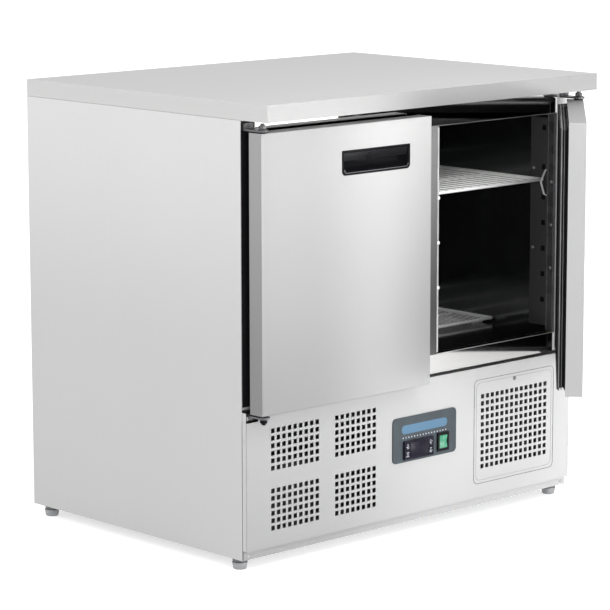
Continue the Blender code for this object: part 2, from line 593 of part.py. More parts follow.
def make_door(root, side, word, angle_deg):
    """One door, drawn shut in the cabinet's frame and turned about its pivot pins."""
    pivot = (side * PIVOT_X, PIVOT_Y, 0)
    axis = empty(f"hinge_axis_{word}", root, pivot, angle_deg)
    x = tuple(sorted((side * DOOR_INNER_X, side * DOOR_OUTER_X)))
    z = (DOOR_BOTTOM, DOOR_TOP)
    handle_x = tuple(sorted((side * HANDLE_X[0], side * HANDLE_X[1])))
    back_sheet = 0.0010
    pin_low, pin_high = DOOR_BOTTOM + PIN_REACH + 0.002, DOOR_TOP - PIN_REACH - 0.002

    outer = bevelled_box(x, (DOOR_FACE, DOOR_BACK), z, 0.0009, 2, at_door_face)
    skin = add(f"door_{word}_skin", outer, axis)
    hollow = box(inset(x, SHEET), (DOOR_FACE + SHEET, 0), inset(z, SHEET))
    combine(skin, hollow, f"cutter_door_hollow_{word}")
    handle_hole = box(inset(handle_x, 0.004), (DOOR_FACE - 0.01, DOOR_FACE + 0.01), inset(HANDLE_Z, 0.004))
    combine(skin, handle_hole, f"cutter_handle_hole_{word}")
    for end, span in (("bottom", (DOOR_BOTTOM - 0.01, pin_low)), ("top", (pin_high, DOOR_TOP + 0.01))):
        bore = cylinder(PIN_HOLE_RADIUS, *span, pivot)
        combine(skin, bore, f"cutter_skin_pin_{end}_{word}")

    foam_x, foam_z = inset(x, SHEET + GAP), inset(z, SHEET + GAP)
    foam_y = (DOOR_FACE + SHEET + GAP, DOOR_BACK - back_sheet - GAP)
    pocket_y = (foam_y[0], DOOR_FACE + HANDLE_POCKET_DEPTH + GAP)
    pocket = spans(inset(handle_x, 0.0036), pocket_y, inset(HANDLE_Z, 0.0036))
    foam = blocks([spans(foam_x, foam_y, foam_z)], [pocket])
    foam = add(f"door_{word}_foam", foam, axis, (0.85, 0.8, 0.55), 0.9, 0.0)
    for end, span in (("bottom", (DOOR_BOTTOM - 0.01, pin_low)), ("top", (pin_high, DOOR_TOP + 0.01))):
        bore = cylinder(PIN_HOLE_RADIUS, *span, pivot)
        combine(foam, bore, f"cutter_foam_pin_{end}_{word}")

    liner = box(inset(x, SHEET + GAP), (DOOR_BACK - back_sheet, DOOR_BACK), inset(z, SHEET + GAP))
    add(f"door_{word}_inner_panel", liner, axis, (0.5, 0.5, 0.5), 0.2)

    seal_x = tuple(sorted((side * (DOOR_INNER_X + 0.010), side * (PIVOT_X - 0.0005))))
    seal_z = inset(z, 0.011)
    seal_y = (DOOR_BACK + GAP, BODY_FRONT - GAP)
    width = 0.017
    window = spans(inset(seal_x, width), seal_y, inset(seal_z, width))
    ring = blocks([spans(seal_x, seal_y, seal_z)], [window])
    add(f"door_{word}_gasket", ring, axis, (0.015, 0.015, 0.016), 0.6, 0.0)

    flange = spans(handle_x, (DOOR_FACE - 0.0011, DOOR_FACE - GAP), HANDLE_Z)
    cup_x, cup_z = inset(handle_x, 0.0043), inset(HANDLE_Z, 0.0043)
    cup = spans(cup_x, (DOOR_FACE - GAP, DOOR_FACE + HANDLE_POCKET_DEPTH), cup_z)
    finger = spans(inset(cup_x, 0.002), (-0.34, DOOR_FACE + HANDLE_POCKET_DEPTH - 0.002), inset(cup_z, 0.002))
    add(f"door_{word}_handle", blocks([flange, cup], [finger]), axis, (0.02, 0.02, 0.02), 0.4, 0.0)


# ---------------------------------------------------------------- assembly
def main():
    clear_scene()
    root = empty("cabinet", location=(0, CABINET_SHIFT_Y, 0))
    make_worktop(root)
    make_side_panel(root, -1, "side_panel_left")
    make_side_panel(root, 1, "side_panel_right")
    make_back_panel(root)
    make_front_frame(root)
    make_liner(root)
    make_insulation(root)
    make_pilasters(root)
    for side, word in ((-1, "left"), (1, "right")):
        make_shelf(root, f"shelf_{word}_upper", side, (-0.250, 0.225), (0.6585, 0.6635), 0.0236)
        make_shelf(root, f"shelf_{word}_lower", side, (-0.112, 0.225), (0.3545, 0.3595), 0.0236)
    make_evaporator(root, empty("evaporator_fan_axle", root, EVAPORATOR_FAN))
    make_base(root)
    make_front_panel(root)
    make_toe_strip(root)
    make_vent_cover(root)
    make_controls(root)
    make_machinery(root, empty("condenser_fan_axle", root, FAN_CENTRE))
    make_inlet(root)
    make_feet(root)
    for side, word, angle in ((-1, "left", 0.0), (1, "right", RIGHT_DOOR_OPEN_DEG)):
        for place in ("top", "bottom"):
            make_hinge_bracket(root, side, word, place)
        make_door(root, side, word, angle)


main()
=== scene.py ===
"""The looks of a two-door undercounter refrigerated cabinet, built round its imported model.

Metres, in the frame's own axes: +Z up, the doors face -Y. The left door is shut at rest. The right
door stands open, so its pieces are drawn shut, as the left door's mirror image, and then turned.
"""

import json
import math

import bmesh
import bpy
from mathutils import Matrix, Vector


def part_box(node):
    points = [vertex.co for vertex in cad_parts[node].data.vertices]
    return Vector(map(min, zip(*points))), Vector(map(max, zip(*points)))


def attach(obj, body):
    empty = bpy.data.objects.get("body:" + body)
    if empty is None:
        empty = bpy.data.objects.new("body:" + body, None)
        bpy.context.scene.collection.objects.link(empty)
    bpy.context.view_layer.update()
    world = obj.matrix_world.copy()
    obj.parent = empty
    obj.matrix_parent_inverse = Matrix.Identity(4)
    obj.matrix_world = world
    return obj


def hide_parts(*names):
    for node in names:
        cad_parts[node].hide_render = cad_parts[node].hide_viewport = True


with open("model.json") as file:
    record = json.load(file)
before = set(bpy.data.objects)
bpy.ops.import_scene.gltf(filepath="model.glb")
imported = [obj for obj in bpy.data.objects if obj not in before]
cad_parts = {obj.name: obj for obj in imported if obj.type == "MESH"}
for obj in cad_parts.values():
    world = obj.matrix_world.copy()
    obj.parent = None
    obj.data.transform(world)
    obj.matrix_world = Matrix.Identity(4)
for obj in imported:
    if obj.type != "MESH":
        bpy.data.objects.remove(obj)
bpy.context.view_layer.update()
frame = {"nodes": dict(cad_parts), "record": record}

CABINET = "cabinet"
GAP = 0.0003
RIGHT_DOOR_OPEN_DEG = 42.0
JOINT_PLACES = {joint["name"]: joint.get("pos_m") for joint in frame["record"]["behaviour"]["joints"]}
PIVOT = Vector(JOINT_PLACES["right_door_hinge"])


# ---------------------------------------------------------------- shading helpers
class Shader:
    """A material being wired up: a Principled BSDF, and short ways to add nodes to it."""

    def __init__(self, name, colour, roughness, metallic=0.0):
        self.material = bpy.data.materials.new(name)
        self.material.use_nodes = True
        self.tree = self.material.node_tree
        self.bsdf = self.tree.nodes["Principled BSDF"]
        self.set(Metallic=metallic)
        self.bsdf.inputs["Base Color"].default_value = (*colour, 1)
        self.bsdf.inputs["Roughness"].default_value = roughness
        self.colour, self.roughness = colour, roughness

    def set(self, **values):
        for name, value in values.items():
            self.bsdf.inputs[name.replace("_", " ")].default_value = value

    def node(self, kind, **inputs):
        made = self.tree.nodes.new(kind)
        for name, value in inputs.items():
            socket = made.inputs[name.replace("_", " ")]
            if isinstance(value, bpy.types.NodeSocket):
                self.tree.links.new(value, socket)
            else:
                socket.default_value = value
        return made

    def place(self, scale, turn_deg=0.0):
        """Object coordinates, turned about Z and then stretched by scale."""
        source = self.tree.nodes.new("ShaderNodeTexCoord").outputs["Object"]
        turned = self.node("ShaderNodeMapping", Vector=source, Rotation=(0, 0, math.radians(turn_deg)))
        return self.node("ShaderNodeMapping", Vector=turned.outputs[0], Scale=scale).outputs[0]

    def noise(self, scale, detail=3.0, turn_deg=0.0):
        place = self.place(scale, turn_deg)
        return self.node("ShaderNodeTexNoise", Vector=place, Scale=1.0, Detail=detail).outputs["Fac"]

    def between(self, fac, low, high):
        made = self.node("ShaderNodeMapRange", Value=fac)
        made.inputs["From Min"].default_value = 0.3
        made.inputs["From Max"].default_value = 0.7
        made.inputs["To Min"].default_value = low
        made.inputs["To Max"].default_value = high
        return made.outputs[0]

    def shades(self, fac, dark, light):
        """A colour between two shades of the base colour."""
        ramp = self.tree.nodes.new("ShaderNodeValToRGB")
        self.tree.links.new(fac, ramp.inputs[0])
        ends = ramp.color_ramp.elements
        ends[0].position, ends[1].position = 0.3, 0.7
        ends[0].color = (*(c * dark for c in self.colour), 1)
        ends[1].color = (*(c * light for c in self.colour), 1)
        self.tree.links.new(ramp.outputs[0], self.bsdf.inputs["Base Color"])

    def ramp_along(self, value, start, end, low, high):
        """A smooth change from low at start to high at end."""
        rise = self.node("ShaderNodeMapRange", Value=value)
        rise.interpolation_type = "SMOOTHSTEP"
        for socket, number in (("From Min", start), ("From Max", end), ("To Min", low), ("To Max", high)):
            rise.inputs[socket].default_value = number
        return rise.outputs[0]

    def fade(self, bottom, top, low_z, high_z, side=1.0, front=1.0, up=1.0, across=None):
        """Paints light and shade into the colour: from bottom at low_z to top at high_z, and by side,
        front and up on the faces turned to X, Y or Z.

        across, when given, is (low_x, high_x, factor): painted light, the colour scaled by up to factor.
        """
        tree = self.tree
        source = tree.nodes.new("ShaderNodeTexCoord")
        at = self.node("ShaderNodeSeparateXYZ", Vector=source.outputs["Object"]).outputs
        factor = self.ramp_along(at["Z"], low_z, high_z, bottom, top)
        if across:
            low_x, high_x, scale = across
            factor = self.maths("MULTIPLY", factor, self.ramp_along(at["X"], low_x, high_x, 1.0, scale))
        facing = self.node("ShaderNodeSeparateXYZ", Vector=source.outputs["Normal"])
        for axis, tint in (("X", side), ("Y", front), ("Z", up)):
            turned_to = self.maths("ABSOLUTE", facing.outputs[axis])
            mask = self.maths("GREATER_THAN", turned_to, 0.7)
            step = self.maths("MULTIPLY_ADD", mask, tint - 1.0, 1.0)
            factor = self.maths("MULTIPLY", factor, step)
        colour = self.bsdf.inputs["Base Color"]
        scaled = tree.nodes.new("ShaderNodeVectorMath")
        scaled.operation = "SCALE"
        tree.links.new(colour.links[0].from_socket, scaled.inputs[0])
        tree.links.new(factor, scaled.inputs["Scale"])
        tree.links.new(scaled.outputs[0], colour)
        return self

    def maths(self, operation, *values):
        made = self.tree.nodes.new("ShaderNodeMath")
        made.operation = operation
        for socket, value in zip(made.inputs, values):
            if isinstance(value, bpy.types.NodeSocket):
                self.tree.links.new(value, socket)
            else:
                socket.default_value = value
        return made.outputs[0]

    def rough(self, fac, spread):
        low, high = max(self.roughness - spread, 0.02), self.roughness + spread
        self.tree.links.new(self.between(fac, low, high), self.bsdf.inputs["Roughness"])

    def bump(self, height, distance, strength=1.0):
        made = self.node("ShaderNodeBump", Height=height, Distance=distance, Strength=strength)
        self.tree.links.new(made.outputs[0], self.bsdf.inputs["Normal"])


def brushed(name, colour, roughness, grain, turn_deg=0.0, metallic=1.0, relief=0.35):
    """Stainless sheet. grain is how fast the brush marks change along X, Y and Z."""
    shader = Shader(name, colour, roughness, metallic)
    marks = shader.noise(grain, 4.0, turn_deg)
    clouds = shader.noise((3.1, 3.1, 3.1), 2.0)
    half = shader.maths("MULTIPLY", shader.maths("ADD", marks, clouds), 0.5)
    shader.shades(half, 0.965, 1.03)
    shader.rough(half, roughness * 0.12)
    shader.bump(marks, 0.00004, relief)
    return shader


def moulded(name, colour, roughness, grain=900.0, depth=0.00006, coat=0.0, shine=0.5):
    """Plastic or rubber with a fine moulded grain and faint handling marks."""
    shader = Shader(name, colour, roughness)
    fine = shader.noise((grain, grain, grain), 2.0)
    soft = shader.noise((24, 24, 24), 3.0)
    shader.shades(soft, 0.82, 1.22)
    shader.rough(soft, 0.06)
    shader.bump(fine, depth, 0.5)
    shader.set(Coat_Weight=coat, Coat_Roughness=0.12, Specular_IOR_Level=shine)
    return shader


def plated(name, colour, roughness, metallic=1.0, mottle=0.86):
    """Zinc-plated or painted steel with a mottled skin. mottle is its darkest shade."""
    shader = Shader(name, colour, roughness, metallic)
    spangle = shader.noise((85, 85, 85), 4.0)
    shader.shades(spangle, mottle, 2 - mottle)
    shader.rough(spangle, 0.08)
    shader.bump(shader.noise((420, 420, 420), 2.0), 0.00005, 0.4)
    return shader


def finned(name, colour, roughness, pitch):
    """Thin aluminium fins, as lines that repeat along X: the dark lines are painted shade between fins."""
    shader = Shader(name, colour, roughness, 1.0)
    place = shader.place((1 / pitch, 0, 0))
    wave = shader.node("ShaderNodeTexWave", Vector=place, Scale=0.314, Distortion=0.0)
    # Painted shade in the gaps between the fins.
    shader.shades(wave.outputs["Fac"], 0.25, 1.1)
    shader.bump(wave.outputs["Fac"], 0.0004, 0.6)
    return shader


def foam(name, colour):
    shader = Shader(name, colour, 0.9)
    cells = shader.node("ShaderNodeTexVoronoi", Vector=shader.place((300, 300, 300)), Scale=1.0)
    shader.shades(cells.outputs["Distance"], 0.8, 1.1)
    shader.bump(cells.outputs["Distance"], 0.0008, 0.8)
    return shader


def lit_green(name):
    """Tinted plastic over a small lamp, with a faint glow and a patchy tone from noise."""
    shader = Shader(name, (0.014, 0.165, 0.085), 0.45)
    glow = shader.noise((40, 40, 60), 2.0)
    shader.shades(glow, 0.85, 1.2)
    shader.bsdf.inputs["Emission Color"].default_value = (0.05, 0.50, 0.27, 1)
    shader.set(Emission_Strength=0.05, Coat_Weight=0.1, Coat_Roughness=0.2)
    return shader


def print_ink(name, colour):
    shader = Shader(name, colour, 0.45)
    shader.shades(shader.noise((600, 600, 600), 2.0), 0.88, 1.08)
    return shader


# ---------------------------------------------------------------- materials
ALONG_X, ALONG_Z = (6, 700, 700), (700, 700, 6)
# Painted light and shade. These gradients even out the doors and the base, which the open door
# would shade; the side panels and the mullion are painted lighter towards the top, and faces are
# painted lighter or darker by the way they are turned.
DOOR_PAINTED_SHADE = {"bottom": 0.79, "top": 1.24, "low_z": 0.30, "high_z": 0.86}
EVEN = {"bottom": 1.0, "top": 1.0, "low_z": 0.0, "high_z": 1.0}
# Painted shade: the worktop's front-facing faces are painted darker.
steel_top = brushed("steel_worktop", (0.42, 0.42, 0.418), 0.40, ALONG_X, metallic=0.5)
steel_top.fade(**EVEN, side=1.02, front=0.545)
# Painted light: the side panels are painted lighter towards the top.
steel_side = brushed("steel_side", (0.385, 0.385, 0.384), 0.42, ALONG_Z, metallic=0.4)
steel_side.fade(1.0, 1.27, 0.36, 0.88)
steel_front = brushed("steel_front", (0.218, 0.218, 0.218), 0.46, ALONG_X, metallic=0.12)
# Painted shade and light: the base's side faces and hole walls are painted darker, and the base is painted
# lighter towards the right, where the open door shades it.
steel_base = brushed("steel_base", (0.218, 0.218, 0.218), 0.46, ALONG_X, metallic=0.12)
steel_base.fade(**EVEN, side=0.25, up=0.30, across=(-0.30, 0.15, 1.42))
# Painted light: a lighter copy of the base steel, for the base's side flanges.
steel_flange_painted_light = brushed("steel_flange_painted_light", (0.36, 0.36, 0.36), 0.40, ALONG_Z, metallic=0.12)
# Painted light and shade: the left door is darker at the bottom, lighter at the top and lighter towards its
# right edge, where the open door shades it.
steel_door_left = brushed("steel_door_left", (0.188, 0.188, 0.1875), 0.50, ALONG_Z, metallic=0.12)
steel_door_left.fade(**DOOR_PAINTED_SHADE, side=1.0, across=(-0.33, 0.0, 1.72))
# Painted light: the right door's side faces are painted lighter.
steel_door_right = brushed(
    "steel_door_right", (0.200, 0.200, 0.1995), 0.50, ALONG_Z, -RIGHT_DOOR_OPEN_DEG, 0.12
)
steel_door_right.fade(**EVEN, side=1.32)
steel_frame = brushed("steel_frame", (0.56, 0.56, 0.556), 0.04, ALONG_X, relief=0.06)
steel_sill = brushed("steel_sill", (0.29, 0.288, 0.284), 0.08, ALONG_X, relief=0.06)
# Painted shade: the mullion is painted darker towards the bottom.
steel_mullion = brushed("steel_mullion", (0.22, 0.22, 0.22), 0.40, ALONG_Z, metallic=0.3)
steel_mullion.fade(0.35, 1.2, 0.36, 0.78)
# Painted shade: the liner is a darker copy of stainless, for the shade inside the compartment.
steel_liner = brushed("steel_liner", (0.19, 0.195, 0.195), 0.12, ALONG_Z, metallic=0.95, relief=0.04)
steel_inner_door = brushed("steel_inner_door", (0.13, 0.13, 0.132), 0.10, ALONG_Z, relief=0.05)
steel_strip = brushed("steel_strip", (0.10, 0.10, 0.10), 0.35, ALONG_Z, metallic=0.5)
galvanised = plated("galvanised", (0.16, 0.165, 0.17), 0.5)
zinc = plated("zinc_plated", (0.105, 0.105, 0.11), 0.42, 0.7)
screw_steel = plated("screw_steel", (0.33, 0.33, 0.33), 0.30, 0.6)
wire_coat = plated("pale_wire_coat", (0.84, 0.84, 0.83), 0.38, 0.0, 0.96)
black_enamel = plated("black_enamel", (0.008, 0.008, 0.009), 0.45, 0.0)
foot_grey = plated("foot_grey", (0.235, 0.24, 0.245), 0.42, 0.3)
# Black rubber for the seals, also used as painted shade by the stiles and behind the slots.
rubber = moulded("black_rubber_and_painted_shade", (0.006, 0.006, 0.007), 0.50, 700.0, shine=0.15)
# Painted highlight: a grey finish for strips along the seal's ridges.
ridge_highlight = moulded("gasket_ridge_highlight", (0.11, 0.11, 0.112), 0.22, 900.0, 0.00001, 0.4)
black_plastic = moulded("black_plastic", (0.004, 0.004, 0.005), 0.45, shine=0.06)
black_gloss = moulded("black_gloss", (0.005, 0.004, 0.010), 0.30, 900.0, 0.00001, shine=0.08)
hood_plastic = moulded("hood_plastic", (0.009, 0.009, 0.010), 0.32, shine=0.14)
edge_grey = moulded("edge_grey", (0.16, 0.16, 0.162), 0.34, 900.0, 0.00002, shine=0.4)
dark_strip = moulded("dark_strip", (0.055, 0.055, 0.056), 0.28, 900.0, 0.00002, shine=0.4)
pale_strip = moulded("pale_strip", (0.44, 0.44, 0.435), 0.34, 900.0, 0.00002, 0.2)
slate = moulded("slate_plate", (0.026, 0.036, 0.043), 0.55, 1100.0, 0.00003, shine=0.25)
fins = finned("aluminium_fins", (0.08, 0.08, 0.085), 0.45, 0.0022)
foam_cream = foam("cream_foam", (0.80, 0.72, 0.47))
dark_foam = foam("dark_foam_edge", (0.020, 0.020, 0.021))
green = lit_green("green_rocker")
ink_blue = print_ink("blue_ink", (0.018, 0.088, 0.165))
ink_pale = print_ink("pale_ink", (0.36, 0.38, 0.41))

FINISHES = {
    "worktop": steel_top,
    "side_panel_left": steel_side,
    "side_panel_right": steel_side,
    "back_panel": steel_front,
    "top_rail": steel_frame,
    "bottom_sill": steel_sill,
    "center_mullion": steel_mullion,
    "base_front_panel": steel_base,
    "base_toe_strip": steel_base,
    "vent_cover": steel_base,
    "base_tray": galvanised,
    "door_left_skin": steel_door_left,
    "door_right_skin": steel_door_right,
    "evaporator_cover": steel_inner_door,
    "evaporator_coil": fins,
    "condenser_coil": fins,
    "condenser_fan_frame": black_enamel,
    "compressor": black_enamel,
    "condenser_fan": black_plastic,
    "evaporator_fan": black_plastic,
    "cable_gland": black_plastic,
    "control_plate": slate,
    "controller_body": black_gloss,
    "switch_bezel": black_plastic,
    "insulation_shell": foam_cream,
}
FAMILIES = {
    "liner_": steel_liner,
    "pilaster_": steel_strip,
    "hinge_bracket_": zinc,
    "controller_key_": black_gloss,
}


def finish_cad_nodes():
    """Gives every CAD node that stays in sight its procedural finish."""
    for name, obj in frame["nodes"].items():
        found = FINISHES.get(name, steel_front)
        for start, material in FAMILIES.items():
            if name.startswith(start):
                found = material
        if name.endswith("_foam"):
            found = dark_foam
        for slot in obj.material_slots:
            slot.material = found.material


# ---------------------------------------------------------------- shape helpers
def piece(name, bm, finish, body=CABINET, replaces=(), smooth=35.0):
    """Makes one piece of the look from a bmesh, and hangs it on its body."""
    bmesh.ops.remove_doubles(bm, verts=bm.verts, dist=1e-7)
    bmesh.ops.recalc_face_normals(bm, faces=bm.faces)
    mesh = bpy.data.meshes.new(name)
    bm.to_mesh(mesh)
    bm.free()
    mesh.shade_smooth()
    mesh.set_sharp_from_angle(angle=math.radians(smooth))
    mesh.materials.append(finish.material)
    obj = bpy.data.objects.new(name, mesh)
    bpy.context.scene.collection.objects.link(obj)
    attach(obj, body)
    if replaces:
        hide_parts(*replaces)
    return obj


def merge(target, source):
    """Adds one bmesh to another."""
    mesh = bpy.data.meshes.new("part")
    source.to_mesh(mesh)
    target.from_mesh(mesh)
    bpy.data.meshes.remove(mesh)
    source.free()


def rounded_outline(x, z, y, top_radius, bottom_radius=None, steps=6):
    """A rectangle in an XZ plane with rounded corners, as points that run once round it."""
    bottom_radius = top_radius if bottom_radius is None else bottom_radius
    corners = (
        (x[1], z[1], top_radius, 0),
        (x[0], z[1], top_radius, 90),
        (x[0], z[0], bottom_radius, 180),
        (x[1], z[0], bottom_radius, 270),
    )
    points = []
    for corner_x, corner_z, radius, start in corners:
        in_x = corner_x - math.copysign(radius, math.cos(math.radians(start + 45)))
        in_z = corner_z - math.copysign(radius, math.sin(math.radians(start + 45)))
        for step in range(steps + 1):
            angle = math.radians(start + 90 * step / steps)
            points.append(Vector((in_x + radius * math.cos(angle), y, in_z + radius * math.sin(angle))))
    return points


def shrink(pair, amount):
    return (pair[0] + amount, pair[1] - amount)


def loft(loops, closed_ends=True):
    """A skin through loops of equally many points."""
    bm = bmesh.new()
    rings = [[bm.verts.new(point) for point in loop] for loop in loops]
    for ring, after in zip(rings, rings[1:]):
        for i in range(len(ring)):
            j = (i + 1) % len(ring)
            bm.faces.new((ring[i], ring[j], after[j], after[i]))
    if closed_ends:
        bm.faces.new(rings[0])
        bm.faces.new(rings[-1])
    return bm


def turned(profile, centre, axis="Z", segments=28):
    """A solid turned about an axis: profile is (radius, distance along the axis)."""
    loops = []
    for radius, along in profile:
        loop = []
        for step in range(segments):
            angle = 2 * math.pi * step / segments
            loop.append(Vector((radius * math.cos(angle), radius * math.sin(angle), along)))
        loops.append(loop)
    bm = loft(loops)
    turns = {"Z": Matrix.Identity(4), "-Y": Matrix.Rotation(math.radians(90), 4, "X")}
    turns["Y"] = Matrix.Rotation(math.radians(-90), 4, "X")
    turns["X"] = Matrix.Rotation(math.radians(90), 4, "Y")
    turns["-X"] = Matrix.Rotation(math.radians(-90), 4, "Y")
    bmesh.ops.transform(bm, matrix=Matrix.Translation(centre) @ turns[axis], verts=bm.verts)
    return bm


def rod(start, end, radius, sides=10):
    """A straight round wire with slightly rounded ends."""
    start, end = Vector(start), Vector(end)
    along = end - start
    aim = Vector((0, 0, 1)).rotation_difference(along).to_matrix().to_4x4()
    length, soft = along.length, min(radius * 0.35, along.length / 3)
    profile = [(radius - soft, 0), (radius, soft), (radius, length - soft), (radius - soft, length)]
    bm = turned(profile, (0, 0, 0), "Z", sides)
    bmesh.ops.transform(bm, matrix=Matrix.Translation(start) @ aim, verts=bm.verts)
    return bm


def bent_rod(points, radius, sides=10):
    """Wire through several points: straight runs with a ball at each bend."""
    bm = bmesh.new()
    for start, end in zip(points, points[1:]):
        merge(bm, rod(start, end, radius, sides))
    for point in points[1:-1]:
        place = Matrix.Translation(point)
        bmesh.ops.create_icosphere(bm, subdivisions=2, radius=radius, matrix=place)
    return bm


def soft_box(x, y, z, radius=0.0005, segments=2):
    """A block with rounded edges."""
    bm = bmesh.new()
    x, y, z = (tuple(sorted(pair)) for pair in (x, y, z))
    size = [pair[1] - pair[0] for pair in (x, y, z)]
    middle = [(pair[1] + pair[0]) / 2 for pair in (x, y, z)]
    bmesh.ops.create_cube(bm, size=1.0, matrix=Matrix.Translation(middle) @ Matrix.Diagonal((*size, 1)))
    radius = min(radius, min(size) * 0.45)
    bmesh.ops.bevel(bm, geom=bm.edges[:], offset=radius, segments=segments, profile=0.5, affect="EDGES")
    return bm


def prism(outline, x):
    """An outline of (y, z) points pushed along X."""
    return loft([[Vector((at, y, z)) for y, z in outline] for at in x])


# ---------------------------------------------------------------- doors
LEFT_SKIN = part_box("door_left_skin")
DOOR_Z = (LEFT_SKIN[0].z, LEFT_SKIN[1].z)
DOOR_FACE = LEFT_SKIN[0].y
BRACKET_LEG_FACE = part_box("hinge_bracket_top_left")[1].y - 0.0025


def onto_door(bm, word):
    """Takes a shape drawn on the shut left door to the door it is for."""
    if word == "right":
        bmesh.ops.transform(bm, matrix=Matrix.Diagonal((-1, 1, 1, 1)), verts=bm.verts)
        hinge = Matrix.Translation(PIVOT) @ Matrix.Rotation(math.radians(RIGHT_DOOR_OPEN_DEG), 4, "Z")
        bmesh.ops.transform(bm, matrix=hinge @ Matrix.Translation(-PIVOT), verts=bm.verts)
    return bm


def door_piece(name, bm, finish, word, replaces=(), smooth=35.0):
    body = f"{word}_door"
    return piece(f"{name}_{word}", onto_door(bm, word), finish, body, replaces, smooth)


def make_pull(word):
    """The recessed pull: a flange with round lower corners, a pocket, and a hood over its top."""
    low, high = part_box("door_left_handle")
    x, z = (low.x, high.x), (low.z, high.z)
    front, rear = low.y, high.y

    def outline(y, amount, square=0.0012, rounded=0.0085):
        top, bottom = max(square - amount * 0.1, 0.0006), max(rounded - amount, 0.002)
        return rounded_outline(shrink(x, amount), shrink(z, amount), y, top, bottom)

    face = DOOR_FACE - GAP
    cup, wall, pocket = 0.0046, 0.0014, 0.0088
    loops = [
        outline(rear, cup + 0.002),
        outline(rear - 0.002, cup),
        outline(face, cup),
        outline(face, 0),
        outline(front + 0.0006, 0),
        outline(front, 0.0007),
        outline(front, 0.0030),
        outline(front + 0.0012, 0.0042),
        outline(front + 0.0012, 0.0056),
        outline(front + 0.0024, cup + wall),
        outline(rear - 0.0065, pocket),
        outline(rear - 0.0020, pocket + 0.0045),
    ]
    door_piece("door_pull", loft(loops), black_plastic, word, (f"door_{word}_handle",), 50)
    inside_x = shrink(x, cup + wall + 0.0003)
    top = z[1] - cup - wall
    hood = [
        (front + 0.0022, top),
        (front + 0.0052, top - 0.0135),
        (front + 0.0066, top - 0.0147),
        (front + 0.0076, top - 0.0138),
        (front + 0.0078, top),
    ]
    door_piece("door_pull_hood", prism(hood, inside_x), hood_plastic, word, (), 40)
    make_pull_lip(word, x, z, front, cup + wall)


def make_pull_lip(word, x, z, front, inset):
    """A thin pale bead along the bottom of the pull's mouth, turned up at each end."""
    radius, bend, rise = 0.00045, 0.006, 0.0060
    left, right, bottom = x[0] + inset, x[1] - inset, z[0] + inset * 0.75
    points = [Vector((left, front, bottom + rise))]
    for centre_x, start_deg in ((left + bend, 180), (right - bend, 270)):
        for step in range(5):
            angle = math.radians(start_deg + 90 * step / 4)
            x, z = centre_x + bend * math.cos(angle), bottom + bend + bend * math.sin(angle)
            points.append(Vector((x, front, z)))
    points.append(Vector((right, front, bottom + rise)))
    door_piece("door_pull_lip", bent_rod(points, radius, 8), edge_grey, word)


def make_gasket(word):
    """The magnetic seal: a root, two bellows and a hollow-looking magnet tube, mitred at corners."""
    low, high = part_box("door_left_gasket")

    def ring(across):
        loops = []
        for inward, proud in across:
            amount, y = inward / 1000, low.y + proud / 1000
            x, z = shrink((low.x, high.x), amount), shrink((low.z, high.z), amount)
            loops.append([Vector((x[i], y, z[k])) for i, k in ((0, 0), (1, 0), (1, 1), (0, 1))])
        return loft([*loops, loops[0]], closed_ends=False)

    across = [
        (0.0, 0.0), (17.0, 0.0), (17.0, 1.6), (14.8, 2.4), (12.6, 4.2), (12.6, 5.4), (14.8, 6.8),
        (15.0, 7.8), (13.0, 9.2), (13.2, 10.0), (15.6, 11.0), (16.4, 12.2), (16.4, 14.6), (15.4, 15.9),
        (13.6, 16.3), (3.4, 16.3), (1.6, 15.9), (0.6, 14.6), (0.6, 12.2), (1.4, 11.0), (3.8, 10.0),
        (4.0, 9.2), (2.0, 7.8), (2.2, 6.8), (4.4, 5.4), (4.4, 4.2), (2.2, 2.4), (0.0, 1.6),
    ]
    door_piece("door_gasket", ring(across), rubber, word, (f"door_{word}_gasket",), 45)
    # Two grey strips along the seal's ridges: painted highlights.
    for number, (at, half) in enumerate(((12.4, 1.5), (7.3, 0.7)), start=1):
        depth = half * 0.8
        bead = [
            (0.35, at - half), (-depth * 0.6, at - half * 0.6), (-depth, at),
            (-depth * 0.6, at + half * 0.6), (0.35, at + half), (2.6, at),
        ]
        door_piece(f"door_gasket_bead_{number}", ring(bead), ridge_highlight, word, (), 70)


def make_inner_panel(word):
    """The door's inner sheet: a flat border under the seal and a pressed field inside it."""
    low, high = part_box("door_left_inner_panel")
    x, z = (low.x, high.x), (low.z, high.z)

    def outline(y, amount, radius):
        return rounded_outline(shrink(x, amount), shrink(z, amount), y, radius)

    border, rise = 0.034, 0.0055
    loops = [
        outline(low.y, 0, 0.002),
        outline(high.y, 0, 0.002),
        outline(high.y, border, 0.016),
        outline(high.y + 0.0012, border + 0.0014, 0.015),
        outline(high.y + rise - 0.0012, border + 0.0052, 0.013),
        outline(high.y + rise, border + 0.0072, 0.012),
        outline(high.y + rise, border + 0.040, 0.008),
    ]
    name = f"door_{word}_inner_panel"
    door_piece("door_liner", loft(loops), steel_inner_door, word, (name,), 50)


